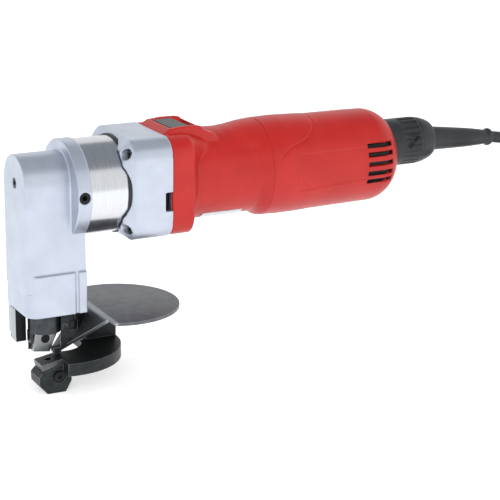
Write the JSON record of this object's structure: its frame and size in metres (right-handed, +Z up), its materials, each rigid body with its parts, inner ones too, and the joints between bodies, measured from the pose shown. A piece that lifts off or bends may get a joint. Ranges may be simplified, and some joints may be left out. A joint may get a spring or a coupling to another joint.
{
  "type": "sheet-metal shear",
  "caption": "Corded hand shear for sheet metal: barrel motor body with slide switch, swivelling head, plunging upper blade, crescent lower jaw, disc-and-ramp guide and twist-lock cord.",
  "frame": {"origin": "on the floor under the middle of the tool, measured without its cord: the bottom of the lower jaw's foot is z = 0", "axes": "+Z up, +Y from the blades along the barrel to the cord end, +X to the side of the blade clamp screw"},
  "size_m": [0.123, 0.5063, 0.1612],
  "materials": {
    "painted_casting": "satin silver paint",
    "bright_steel": "turned, satin",
    "bearing_steel": "ground",
    "dark_steel": "black oxide",
    "plate_steel": "hardened grey plate, worn at the bend",
    "plunger_steel": "dark ground steel",
    "blade_steel": "ground tool steel",
    "gear_steel": "hobbed",
    "black_screws": "black oxide, socket head",
    "zinc_screws": "zinc plated",
    "red_plastic": "satin-gloss moulding",
    "knob_plastic": "satin",
    "black_plastic": "fine moulded grain",
    "black_rubber": "matt",
    "label_metal": "brushed, blank",
    "lamination": "stacked sheets",
    "copper_wire": "enamelled wire",
    "copper_bar": "turned copper",
    "brass": "satin brass",
    "bronze": "bored bronze",
    "carbon": "pressed carbon",
    "cord_rubber": "satin cord jacket"
  },
  "bodies": {
    "housing": {"gear_case": "painted_casting", "gear_case_screws": "black_screws", "neck_seal": "black_rubber", "bearing_plate": "painted_casting", "intermediate_pin": "bearing_steel", "motor_housing": "red_plastic", "rear_cover": "red_plastic", "rear_cover_screws": "zinc_screws", "rating_plate": "label_metal", "field_core": "lamination", "field_coils": "copper_wire", "fan_baffle": "black_plastic", "brush_bracket": "black_plastic", "bracket_screws": "zinc_screws", "brush_holders": "brass", "brushes": "carbon", "brush_springs": "zinc_screws", "armature_front_bearing": "bearing_steel", "armature_rear_bearing": "bearing_steel", "switch_body": "black_plastic", "inlet_socket": "black_plastic", "inlet_pins": "brass", "connector_core": "black_plastic", "strain_relief": "black_rubber", "power_cord": "cord_rubber", "cord_coil": "cord_rubber", "cord_tie": "black_plastic", "cord_tail": "cord_rubber", "mains_plug": "black_rubber", "plug_pins": "brass"},
    "armature": {"armature_shaft": "bearing_steel", "armature_core": "lamination", "armature_windings": "copper_wire", "commutator": "copper_bar", "cooling_fan": "black_plastic"},
    "cluster": {"cluster_gear": "gear_steel"},
    "eccentric": {"eccentric_shaft": "bearing_steel", "drive_gear": "gear_steel", "crank_roller": "bearing_steel", "counterweight": "gear_steel"},
    "head": {"shear_head": "painted_casting", "swivel_neck": "bright_steel", "neck_retaining_ring": "gear_steel", "output_bearings": "bearing_steel", "plunger_bush": "bronze", "neck_lock_screw": "black_screws", "head_front_screw": "black_screws", "hold_down": "blade_steel", "hold_down_screw": "black_screws", "lower_blade_holder": "dark_steel", "holder_bolts": "black_screws", "guide_plate": "plate_steel", "guide_plate_screws": "black_screws", "lower_blade": "blade_steel", "lower_blade_clamp": "black_screws"},
    "plunger": {"plunger": "plunger_steel", "upper_blade": "blade_steel", "upper_blade_screw": "black_screws"},
    "slider": {"switch_slider": "knob_plastic"},
    "twist_collar": {"collar": "black_plastic"}
  },
  "joints": [
    {"name": "head_swivel", "type": "hinge", "parent": "housing", "child": "head", "pos_m": [0, -0.0845, 0.126], "axis": [0, 1, 0], "range_deg": [-180, 180]},
    {"name": "armature_spin", "type": "hinge", "parent": "housing", "child": "armature", "pos_m": [0, -0.0165, 0.126], "axis": [0, 1, 0], "continuous": true},
    {"name": "cluster_spin", "type": "hinge", "parent": "housing", "child": "cluster", "pos_m": [0, -0.0665, 0.142], "axis": [0, 1, 0], "continuous": true},
    {"name": "eccentric_spin", "type": "hinge", "parent": "housing", "child": "eccentric", "pos_m": [0, -0.0765, 0.126], "axis": [0, 1, 0], "continuous": true},
    {"name": "plunger_stroke", "type": "slide", "parent": "head", "child": "plunger", "axis": [0, 0, 1], "range_m": [-0.007, 0]},
    {"name": "switch_slide", "type": "slide", "parent": "housing", "child": "slider", "axis": [0, 1, 0], "range_m": [0, 0.0065]},
    {"name": "collar_twist", "type": "hinge", "parent": "housing", "child": "twist_collar", "pos_m": [0, 0.129, 0.1325], "axis": [0, 1, 0], "range_deg": [0, 90]}
  ],
  "couplings": [
    {"joint": "cluster_spin", "follows": "armature_spin", "ratio": -0.29032},
    {"joint": "eccentric_spin", "follows": "armature_spin", "ratio": 0.12442}
  ]
}
